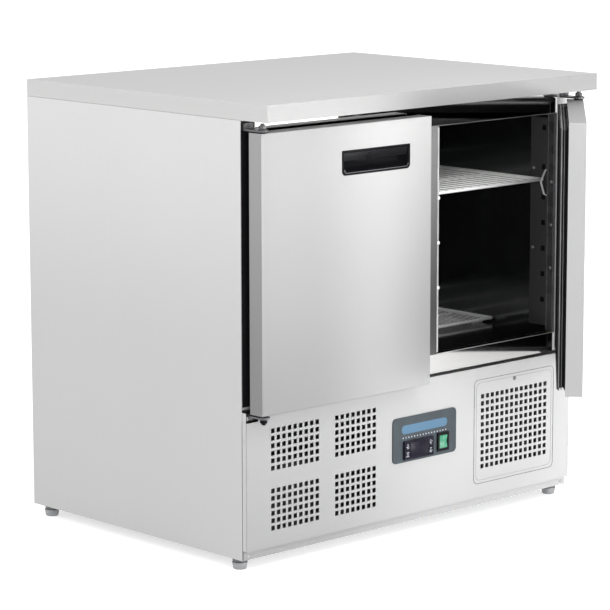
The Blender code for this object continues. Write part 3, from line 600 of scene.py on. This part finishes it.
def make_hinge_bushes(word):
    """A flanged bush in each end of the door, and the nut that holds each bracket's pin."""
    for place in ("top", "bottom"):
        low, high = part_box(f"hinge_bracket_{place}_left")
        sign = 1 if place == "top" else -1
        edge = DOOR_Z[1] if place == "top" else DOOR_Z[0]
        centre = Vector((-PIVOT.x, PIVOT.y, edge + sign * 0.00015))
        rings = [(0.0044, 0), (0.0095, 0), (0.0095, 0.0010), (0.0086, 0.0016), (0.0044, 0.0016), (0.0044, 0)]
        bush = loft(turned_loops([(radius, sign * along) for radius, along in rings], centre), False)
        door_piece(f"hinge_bush_{place}", bush, black_plastic, word)
        plate = edge + sign * 0.0056
        side = -1 if word == "left" else 1
        make_hinge_nut(word, place, (side * PIVOT.x, PIVOT.y, plate), sign)
        leg_z = (high.z + plate) / 2 if place == "top" else (low.z + plate) / 2
        spot = (side * PIVOT.x, BRACKET_LEG_FACE, leg_z)
        make_screw(f"hinge_screw_{place}_{word}", spot, "-Y", 0.0030, zinc)


def make_hinge_nut(word, place, centre, sign):
    """A washer and a nut on the bracket's far side, round and black at the bottom, and the pin's end."""
    washer = [(0.0092, 0.0001), (0.0098, 0.0005), (0.0098, 0.0013), (0.0092, 0.0017)]
    nut = [(0.0064, 0.0018), (0.0070, 0.0024), (0.0070, 0.0078), (0.0064, 0.0084)]
    stud = [(0.0042, 0.0085), (0.0042, 0.0112), (0.0034, 0.0120)]
    nut_finish = black_plastic if place == "bottom" else zinc
    for part, profile, sides, finish in (
        ("washer", washer, 28, zinc),
        ("nut", nut, 6 if place == "top" else 24, nut_finish),
        ("stud", stud, 20, nut_finish),
    ):
        profile = [(radius, sign * along) for radius, along in profile]
        piece(f"hinge_{part}_{place}_{word}", turned(profile, centre, "Z", sides), finish, smooth=25)


def turned_loops(profile, centre, segments=28):
    """The rings of a turned shape about Z, for a loft that closes on itself."""
    loops = []
    for radius, along in profile:
        loop = []
        for step in range(segments):
            angle = 2 * math.pi * step / segments
            offset = Vector((radius * math.cos(angle), radius * math.sin(angle), along))
            loop.append(Vector(centre) + offset)
        loops.append(loop)
    return loops


# ---------------------------------------------------------------- compartment
def make_shelf(name, pitch):
    """A coated wire shelf: a frame, two stretchers under it and rods from front to back."""
    low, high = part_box(name)
    rim, stretcher = 0.0032, 0.0026
    wire = 0.0017 if pitch > 0.02 else 0.0008
    x, y = shrink((low.x, high.x), rim), shrink((low.y, high.y), rim)
    top = high.z - 0.0005
    rim_z = top - rim
    bm = bmesh.new()
    corners = [(x[0], y[0], rim_z), (x[1], y[0], rim_z), (x[1], y[1], rim_z), (x[0], y[1], rim_z)]
    merge(bm, bent_rod([*map(Vector, corners), Vector(corners[0]), Vector(corners[1])], rim, 12))
    drop = rim_z - 0.0056
    for share in (0.34, 0.67):
        at = y[0] + (y[1] - y[0]) * share
        merge(bm, rod((x[0], at, drop + 0.0012), (x[1], at, drop + 0.0012), stretcher))
    count = round((x[1] - x[0]) / pitch)
    for i in range(1, count):
        at = x[0] + (x[1] - x[0]) * i / count
        ends = (y[0] - 0.001, y[1] + 0.001)
        merge(bm, rod((at, ends[0], top - wire), (at, ends[1], top - wire), wire, 8))
    if name.endswith("lower"):
        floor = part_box("liner_floor")[1].z + 0.0019
        for place_x in (x[0] + 0.012, x[1] - 0.045):
            for place_y in (y[0] + 0.012, y[1] - 0.012):
                foot = [(0, 0, drop), (0.004, 0, floor), (0.029, 0, floor), (0.033, 0, drop)]
                points = [Vector((place_x + a, place_y + b, c)) for a, b, c in foot]
                merge(bm, bent_rod(points, 0.0018, 8))
    piece(f"wire_{name}", bm, wire_coat, replaces=(name,), smooth=50)


def make_shelf_clip(name, wall, inward, y):
    """A folded clip: a tongue in the strip's slot, a step that the shelf lies on and a brace."""
    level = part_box("shelf_right_upper")[0].z - 0.0026
    thick = 0.0018
    line = [
        (0.0002, level + 0.0245), (0.0030, level + 0.0225), (0.0165, level), (0.0150, level - 0.0030),
        (0.0062, level - 0.0255), (0.0002, level - 0.0285),
    ]
    bm = bmesh.new()
    for (a, b), (c, d) in zip(line, line[1:]):
        start, end = Vector((wall + inward * a, y, b)), Vector((wall + inward * c, y, d))
        along = (end - start).normalized()
        across = Vector((along.z, 0, -along.x)) * thick / 2
        depth = Vector((0, 0.0018, 0))
        quad = [start - across, start + across, end + across, end - across]
        merge(bm, loft([[p - depth for p in quad], [p + depth for p in quad]]))
    piece(name, bm, wire_coat, smooth=30)


def make_clips():
    for word, side in (("left", -1), ("right", 1)):
        for place in ("front", "rear"):
            low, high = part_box(f"pilaster_{word}_{place}")
            wall = low.x if side > 0 else high.x
            make_shelf_clip(f"shelf_clip_{word}_{place}", wall, -side, low.y + 0.0024)


def make_cover_strips():
    """Ridged strips that cover the gap between the outer frame and the liner."""
    floor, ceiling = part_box("liner_floor")[1].z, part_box("liner_ceiling")[0].z
    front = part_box("top_rail")[0].y + 0.0013
    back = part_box("liner_right")[0].y
    side_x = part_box("liner_right")[0].x
    z = (floor + 0.001, ceiling - 0.001)
    for word, side in (("left", -1), ("right", 1)):
        x = side * (side_x - GAP)
        ridge, base = 0.0022, 0.0010
        depth = back - front
        outline = [
            (0.0, 0.0), (ridge, 0.0), (ridge, depth * 0.16), (base, depth * 0.20), (base, depth * 0.74),
            (ridge, depth * 0.78), (ridge, depth * 0.98), (0.0, depth * 0.98),
        ]
        loops = [[Vector((x - side * a, front + b, at)) for a, b in outline] for at in z]
        piece(f"cover_strip_{word}", loft(loops), dark_strip, smooth=30)
        for number, share in enumerate((0.08, 0.88), start=1):
            at = (x - side * ridge, front + depth * share)
            bead = rod((*at, z[0] + 0.001), (*at, z[1] - 0.001), 0.0007, 10)
            piece(f"cover_bead_{word}_{number}", bead, edge_grey)
        for i, at in enumerate((0.656, 0.568, 0.479)):
            centre = (x - side * base, front + depth * 0.46, at)
            make_screw(f"cover_screw_{word}_{i + 1}", centre, "-X" if side > 0 else "X", 0.0034)


def make_stile_shade_strips():
    """Painted shade: a thin black strip down each front stile, and black plates behind the slots."""
    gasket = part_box("door_left_gasket")
    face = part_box("top_rail")[0].y
    for word, side in (("left", -1), ("right", 1)):
        x = (side * 0.4155, side * 0.4485)
        # Painted shade: the left strip runs up to the rail, where the shut door shades the gap; the right
        # one stops at the seal's top.
        top = gasket[1].z if side > 0 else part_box("top_rail")[1].z - 0.001
        strip = soft_box(x, (face - 0.00004, face - 0.00018), (gasket[0].z, top), 0.00005, 1)
        piece(f"stile_shade_strip_{word}", strip, rubber)
        for place in ("front", "rear"):
            low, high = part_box(f"pilaster_{word}_{place}")
            wall = high.x if side > 0 else low.x
            # Black plates behind the slots: painted shade.
            depth = (wall + side * 0.00005, wall + side * 0.00022)
            y, z = (low.y + 0.003, low.y + 0.017), (low.z + 0.02, high.z - 0.004)
            slot_shade = soft_box(depth, y, z, 0.00005, 1)
            piece(f"slot_shade_plate_{word}_{place}", slot_shade, rubber)


def make_frame_edge_highlights():
    """Pale strips along the rolled edges of the rail and the sill: painted highlights where they catch the
    light.
    """
    for name, top in (("top_rail", False), ("bottom_sill", True)):
        low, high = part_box(name)
        z = high.z + 0.0004 if top else low.z - 0.0004
        y = low.y + 0.0012 if top else low.y + 0.0008
        bead = rod((low.x + 0.002, y, z), (high.x - 0.002, y, z), 0.0009, 12)
        piece(f"{name}_bead", bead, pale_strip if top else edge_grey)


def make_mullion_strips():
    """A pale bead down each edge of the centre upright, with screws on its return."""
    low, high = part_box("center_mullion")
    for word, side in (("left", -1), ("right", 1)):
        edge = high.x if side > 0 else low.x
        x = (edge - side * 0.0034, edge + side * 0.0006)
        bead = soft_box(x, (low.y - 0.0001, low.y - 0.0016), (low.z + 0.004, high.z - 0.004), 0.0006)
        piece(f"mullion_bead_{word}", bead, pale_strip)
        for i, at in enumerate((0.656, 0.568, 0.479)):
            centre = (edge - side * 0.0008, low.y - 0.0016, at)
            make_screw(f"mullion_screw_{word}_{i + 1}", centre, "-Y", 0.0036, wire_coat)


# ---------------------------------------------------------------- screws
def make_screw(name, centre, axis, radius, finish=None):
    """A pan-head screw with a cross in its head, standing out of the face at centre."""
    high = radius * 0.45
    head = turned(
        [
            (radius * 0.98, 0.00005), (radius, high * 0.35), (radius * 0.86, high * 0.78),
            (radius * 0.55, high), (radius * 0.30, high), (radius * 0.12, high * 0.45),
        ],
        (0, 0, 0), "Z", 20,
    )
    for turn in (0, 90):
        arm, width = radius * 0.58, radius * 0.13
        slot = soft_box((-arm, arm), (-width, width), (high * 0.70, high * 1.03), width * 0.3, 1)
        bmesh.ops.transform(slot, matrix=Matrix.Rotation(math.radians(turn + 20), 4, "Z"), verts=slot.verts)
        merge(head, slot)
    turns = {
        "X": Matrix.Rotation(math.radians(90), 4, "Y"), "-X": Matrix.Rotation(math.radians(-90), 4, "Y"),
        "-Y": Matrix.Rotation(math.radians(90), 4, "X"), "Y": Matrix.Rotation(math.radians(-90), 4, "X"),
        "-Z": Matrix.Rotation(math.radians(180), 4, "X"), "Z": Matrix.Identity(4),
    }
    bmesh.ops.transform(head, matrix=Matrix.Translation(centre) @ turns[axis], verts=head.verts)
    return piece(name, head, finish or screw_steel, smooth=40)


def make_outer_screws():
    """Screws on the outside and on the shelf strips, the vent's seam, painted light on the base's flanges.
    """
    panel, strip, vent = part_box("base_front_panel"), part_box("base_toe_strip"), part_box("vent_cover")
    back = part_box("back_panel")
    face = panel[0].y
    x, z = (vent[0].x, vent[1].x), (vent[0].z, vent[1].z)
    seam = [
        rounded_outline(shrink(x, -grow), shrink(z, -grow), y, 0.010 + grow)
        for grow, y in ((0.0003, face - 0.00005), (0.0003, face - 0.0004), (0.0013, face - 0.0004),
                        (0.0013, face - 0.00005), (0.0003, face - 0.00005))
    ]
    piece("vent_seam", loft(seam, closed_ends=False), dark_strip)
    vent_centre = ((vent[0].x + vent[1].x) / 2, vent[0].y, vent[1].z - 0.0095)
    make_screw("vent_screw", vent_centre, "-Y", 0.0042, zinc)
    for word, side in (("left", -1), ("right", 1)):
        edge = panel[0].x if side < 0 else panel[1].x
        flange_y = (panel[0].y + panel[1].y) / 2
        make_screw(f"base_screw_{word}", (edge, flange_y, 0.250), "-X" if side < 0 else "X", 0.0020)
        # A thin sheet over each side flange in the lighter flange steel: painted light.
        x = (edge + side * 0.00005, edge + side * 0.0004)
        y, z = shrink((panel[0].y, panel[1].y), 0.0006), shrink((panel[0].z, panel[1].z), 0.001)
        cover = soft_box(x, y, z, 0.0001, 1)
        piece(f"base_flange_painted_light_{word}", cover, steel_flange_painted_light)
        foot_x = strip[0].x if side < 0 else strip[1].x
        make_screw(f"toe_screw_{word}", (foot_x - side * 0.012, strip[0].y, 0.0300), "-Y", 0.0028)
        for i, share in enumerate((0.04, 0.36, 0.68, 0.97)):
            at = back[0].z + (back[1].z - back[0].z) * share
            place = (side * 0.436, back[1].y - 0.0011, at)
            make_screw(f"back_screw_{word}_{i + 1}", place, "Y", 0.0022)
    for word in ("left", "right"):
        for place in ("front", "rear"):
            low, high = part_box(f"pilaster_{word}_{place}")
            face, axis = (low.x, "-X") if word == "right" else (high.x, "X")
            for i, at in enumerate((0.681, 0.517)):
                make_screw(f"strip_screw_{word}_{place}_{i + 1}", (face, high.y - 0.008, at), axis, 0.0034)


# ---------------------------------------------------------------- controls
def make_rocker():
    """The lit rocker: two faces that meet in a shallow valley, with rounded ends."""
    low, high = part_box("switch_rocker")
    middle = (low.z + high.z) / 2
    half = (high.z - low.z) / 2
    face = []
    for step in range(9):
        share = -1 + step / 4
        dip = 0.0022 * (1 - abs(share)) ** 1.2
        face.append((low.y + dip + 0.0002 * abs(share) ** 8, middle + share * half * 0.985))
    belly = [math.radians(a) for a in range(20, 161, 20)]
    deep = high.y - low.y - 0.0068
    under = [(low.y + 0.0068 + deep * math.sin(a), middle + half * math.cos(a)) for a in belly]
    inner = shrink((low.x, high.x), 0.0005)
    loops = []
    for x, amount in ((low.x, 0.94), (inner[0], 1.0), (inner[1], 1.0), (high.x, 0.94)):
        centre_y, centre_z = low.y + 0.0068, middle
        loop = [
            Vector((x, centre_y + (y - centre_y) * amount, centre_z + (z - centre_z) * amount))
            for y, z in (*face, *under)
        ]
        loops.append(loop)
    piece("rocker_face", loft(loops), green, "power_rocker", ("switch_rocker",), 30)
    line = soft_box((-0.0004, 0.0004), (-0.00012, 0.0002), (-0.0022, 0.0022), 0.0001, 1)
    place = Matrix.Translation(((low.x + high.x) / 2, low.y + 0.0009, middle + half * 0.55))
    bmesh.ops.transform(line, matrix=place @ Matrix.Rotation(math.radians(9), 4, "X"), verts=line.verts)
    piece("rocker_on_mark", line, ink_pale, "power_rocker")


def make_display():
    """The controller's window, raised rim and the marks printed on its four keys."""
    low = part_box("controller_body")[0]
    keys = [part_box(f"controller_key_{i}") for i in range(1, 5)]
    x = (keys[0][1].x + 0.0022, keys[2][0].x - 0.0022)
    z = shrink((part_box("controller_key_2")[0].z, keys[0][1].z), -0.0008)
    front = low.y
    window = [
        rounded_outline(x, z, front - 0.0001, 0.0016),
        rounded_outline(x, z, front - 0.0005, 0.0016),
        rounded_outline(shrink(x, 0.0004), shrink(z, 0.0004), front - 0.0007, 0.0013),
    ]
    piece("display_window", loft(window), black_gloss)
    for number, (key_low, key_high) in enumerate(keys, start=1):
        make_key_marks(number, key_low, key_high)


def make_key_marks(number, low, high):
    """Plain marks on a key: short bars whose lengths differ from key to key."""
    bm = bmesh.new()
    middle_x, width = (low.x + high.x) / 2, (high.x - low.x)
    rows = 4
    for row in range(rows):
        z = low.z + (high.z - low.z) * (row + 0.7) / (rows + 0.4)
        half = width * (0.20 + 0.13 * ((row + number) % 3))
        lean = 0.0004 * ((row + number) % 2 * 2 - 1)
        bar = soft_box(
            (middle_x - half + lean, middle_x + half + lean), (low.y - 0.00012, low.y + 0.0002),
            (z - 0.00055, z + 0.00055), 0.0001, 1,
        )
        merge(bm, bar)
    piece(f"key_marks_{number}", bm, ink_pale, f"key_{number}")


def make_plate_print():
    """A plain blue band and a row of ticks on the control plate, in place of any wording."""
    low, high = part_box("control_plate")
    y = (low.y - 0.00012, low.y + 0.0002)
    span_x = (low.x + 0.024, high.x - 0.026)
    band_z = (high.z - 0.0335, high.z - 0.0165)
    loops = [rounded_outline(span_x, band_z, at, 0.0080, steps=8) for at in (y[1], y[0])]
    loops.append(rounded_outline(shrink(span_x, 0.0005), shrink(band_z, 0.0005), y[0], 0.0075, steps=8))
    piece("plate_blue_band", loft(loops), ink_blue)
    bm = bmesh.new()
    count = 16
    for i in range(count):
        x = span_x[0] + (span_x[1] - span_x[0]) * (i + 0.5) / count
        merge(bm, soft_box((x - 0.0012, x + 0.0012), y, (high.z - 0.0425, high.z - 0.0400), 0.0001, 1))
    piece("plate_ticks", bm, ink_pale)


# ---------------------------------------------------------------- feet and machinery
def make_foot(place, word):
    """A levelling foot: flared cup, dark top collar, hexagon waist and a threaded stud."""
    name = f"foot_{place}_{word}"
    low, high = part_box(name)
    centre = ((low.x + high.x) / 2, (low.y + high.y) / 2, low.z)
    body = f"{place}_{word}_foot"
    cup = turned(
        [
            (0.0108, 0), (0.0120, 0.0004), (0.0126, 0.0014), (0.0132, 0.0050), (0.0147, 0.0118),
            (0.0149, 0.0128), (0.0146, 0.0136), (0.0120, 0.0140),
        ],
        centre, "Z", 36,
    )
    piece(f"foot_cup_{place}_{word}", cup, foot_grey, body, (name,), 40)
    collar = turned(
        [(0.0120, 0.0141), (0.0144, 0.0143), (0.0148, 0.0168), (0.0138, 0.0196), (0.0060, 0.0204)],
        centre, "Z", 6,
    )
    piece(f"foot_collar_{place}_{word}", collar, zinc, body, smooth=25)
    thread = [(0.0040 - 0.0004 * (i % 2), 0.0205 + 0.0008 * i) for i in range(23)]
    piece(f"foot_stud_{place}_{word}", turned(thread, centre, "Z", 16), screw_steel, body)


def make_pipework():
    """Copper-coloured pipes from the compressor, and its terminal box."""
    low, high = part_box("compressor")
    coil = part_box("condenser_coil")
    middle_y = (low.y + high.y) / 2
    box_x, box_y = (high.x - 0.006, high.x + 0.022), (middle_y - 0.03, middle_y + 0.03)
    box = soft_box(box_x, box_y, (0.09, 0.15), 0.003, 3)
    piece("compressor_terminal_box", box, black_plastic)
    copper = plated("copper_pipe", (0.60, 0.30, 0.18), 0.3)
    route = [
        Vector((high.x - 0.03, low.y + 0.03, 0.170)), Vector((high.x - 0.03, low.y + 0.03, 0.215)),
        Vector((high.x + 0.06, low.y - 0.02, 0.215)), Vector((coil[0].x - 0.02, coil[1].y + 0.012, 0.215)),
        Vector((coil[0].x - 0.02, (coil[0].y + coil[1].y) / 2, 0.215)),
        Vector((coil[0].x + 0.002, (coil[0].y + coil[1].y) / 2, 0.215)),
    ]
    piece("discharge_pipe", bent_rod(route, 0.0032, 12), copper, smooth=60)
    for share in (0.2, 0.5, 0.8):
        z = coil[0].z + (coil[1].z - coil[0].z) * share
        y = (coil[0].y + coil[1].y) / 2
        x = coil[1].x
        bend = [Vector((x - 0.002, y, z)), Vector((x + 0.010, y, z)), Vector((x + 0.010, y, z + 0.022)),
                Vector((x - 0.002, y, z + 0.022))]
        piece(f"coil_bend_{round(share * 10)}", bent_rod(bend, 0.0036, 12), copper, smooth=60)


# ---------------------------------------------------------------- stage
def area_light(name, place, aim, size, power):
    data = bpy.data.lights.new(name, "AREA")
    data.shape = "RECTANGLE"
    data.size, data.size_y = size
    data.energy = power
    obj = bpy.data.objects.new(name, data)
    obj.location = place
    obj.rotation_euler = (Vector(aim) - Vector(place)).to_track_quat("-Z", "Y").to_euler()
    bpy.context.scene.collection.objects.link(obj)


def make_stage():
    bm = bmesh.new()
    bmesh.ops.create_grid(bm, x_segments=1, y_segments=1, size=60.0)
    mesh = bpy.data.meshes.new("floor")
    bm.to_mesh(mesh)
    bm.free()
    floor = bpy.data.objects.new("floor", mesh)
    bpy.context.scene.collection.objects.link(floor)
    pale = Shader("pale_floor", (0.60, 0.60, 0.60), 0.80)
    pale.shades(pale.noise((0.8, 0.8, 0.8), 2.0), 0.995, 1.0)
    pale.bsdf.inputs["Emission Color"].default_value = (1, 1, 1, 1)
    pale.set(Emission_Strength=0.62)
    mesh.materials.append(pale.material)

    world = bpy.data.worlds.new("studio")
    bpy.context.scene.world = world
    world.use_nodes = True
    tree = world.node_tree
    coordinates = tree.nodes.new("ShaderNodeTexCoord")
    split = tree.nodes.new("ShaderNodeSeparateXYZ")
    ramp = tree.nodes.new("ShaderNodeValToRGB")
    tree.links.new(coordinates.outputs["Generated"], split.inputs[0])
    tree.links.new(split.outputs["Z"], ramp.inputs[0])
    stops = ramp.color_ramp.elements
    stops[0].position, stops[0].color = 0.0, (0.80, 0.80, 0.80, 1)
    stops[1].position, stops[1].color = 0.9, (1.28, 1.28, 1.29, 1)
    tree.links.new(ramp.outputs[0], tree.nodes["Background"].inputs["Color"])
    tree.nodes["Background"].inputs["Strength"].default_value = 1.0

    area_light("front_softbox", (-1.5, -3.6, 1.9), (0.0, -0.3, 0.42), (2.2, 2.2), 40)
    area_light("side_softbox", (-4.3, -0.5, 1.7), (-0.45, 0.1, 0.45), (1.8, 1.8), 23)
    area_light("low_softbox", (1.0, -3.2, 0.95), (0.2, -0.2, 0.2), (3.4, 1.5), 42)
    area_light("base_softbox", (1.05, -1.7, 0.22), (0.36, -0.16, 0.15), (0.7, 0.3), 15)
    area_light("top_softbox", (0.02, -1.1, 1.5), (0.0, -0.3, 0.48), (0.6, 0.5), 12)
    area_light("floor_softbox_front", (3.4, -4.4, 2.0), (3.4, -4.4, 0), (4.0, 4.0), 30)
    area_light("floor_softbox_left", (-4.4, 3.8, 2.4), (-4.4, 3.8, 0), (4.0, 4.0), 110)
    bpy.context.scene.view_settings.view_transform = "Standard"


def make_camera():
    """The photograph's view: a long lens from the front left, a little above the worktop."""
    place = Vector((-3.9009, -4.1029, 1.4055)) + Vector((0, worktop_middle_y(), 0))
    yaw, pitch, roll = (math.radians(a) for a in (43.355, -9.896, -0.08))
    forward = Vector((math.sin(yaw) * math.cos(pitch), math.cos(yaw) * math.cos(pitch), math.sin(pitch)))
    turn = (-forward).to_track_quat("Z", "Y").to_matrix().to_4x4()
    data = bpy.data.cameras.new("photo_camera")
    data.sensor_width, data.lens = 36.0, 168.2
    data.clip_end = 200
    camera = bpy.data.objects.new("photo_camera", data)
    camera.matrix_world = Matrix.Translation(place) @ turn @ Matrix.Rotation(roll, 4, "Z")
    bpy.context.scene.collection.objects.link(camera)
    bpy.context.scene.camera = camera


def worktop_middle_y():
    low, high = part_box("worktop")
    return (low.y + high.y) / 2


# ---------------------------------------------------------------- build
make_stage()
make_camera()
finish_cad_nodes()
for word in ("left", "right"):
    make_pull(word)
    make_gasket(word)
    make_inner_panel(word)
    make_hinge_bushes(word)
    make_shelf(f"shelf_{word}_upper", 0.0234)
    make_shelf(f"shelf_{word}_lower", 0.0117)
    for place in ("front", "rear"):
        make_foot(place, word)
make_clips()
make_cover_strips()
make_mullion_strips()
make_stile_shade_strips()
make_frame_edge_highlights()
make_outer_screws()
make_rocker()
make_display()
make_plate_print()
make_pipework()
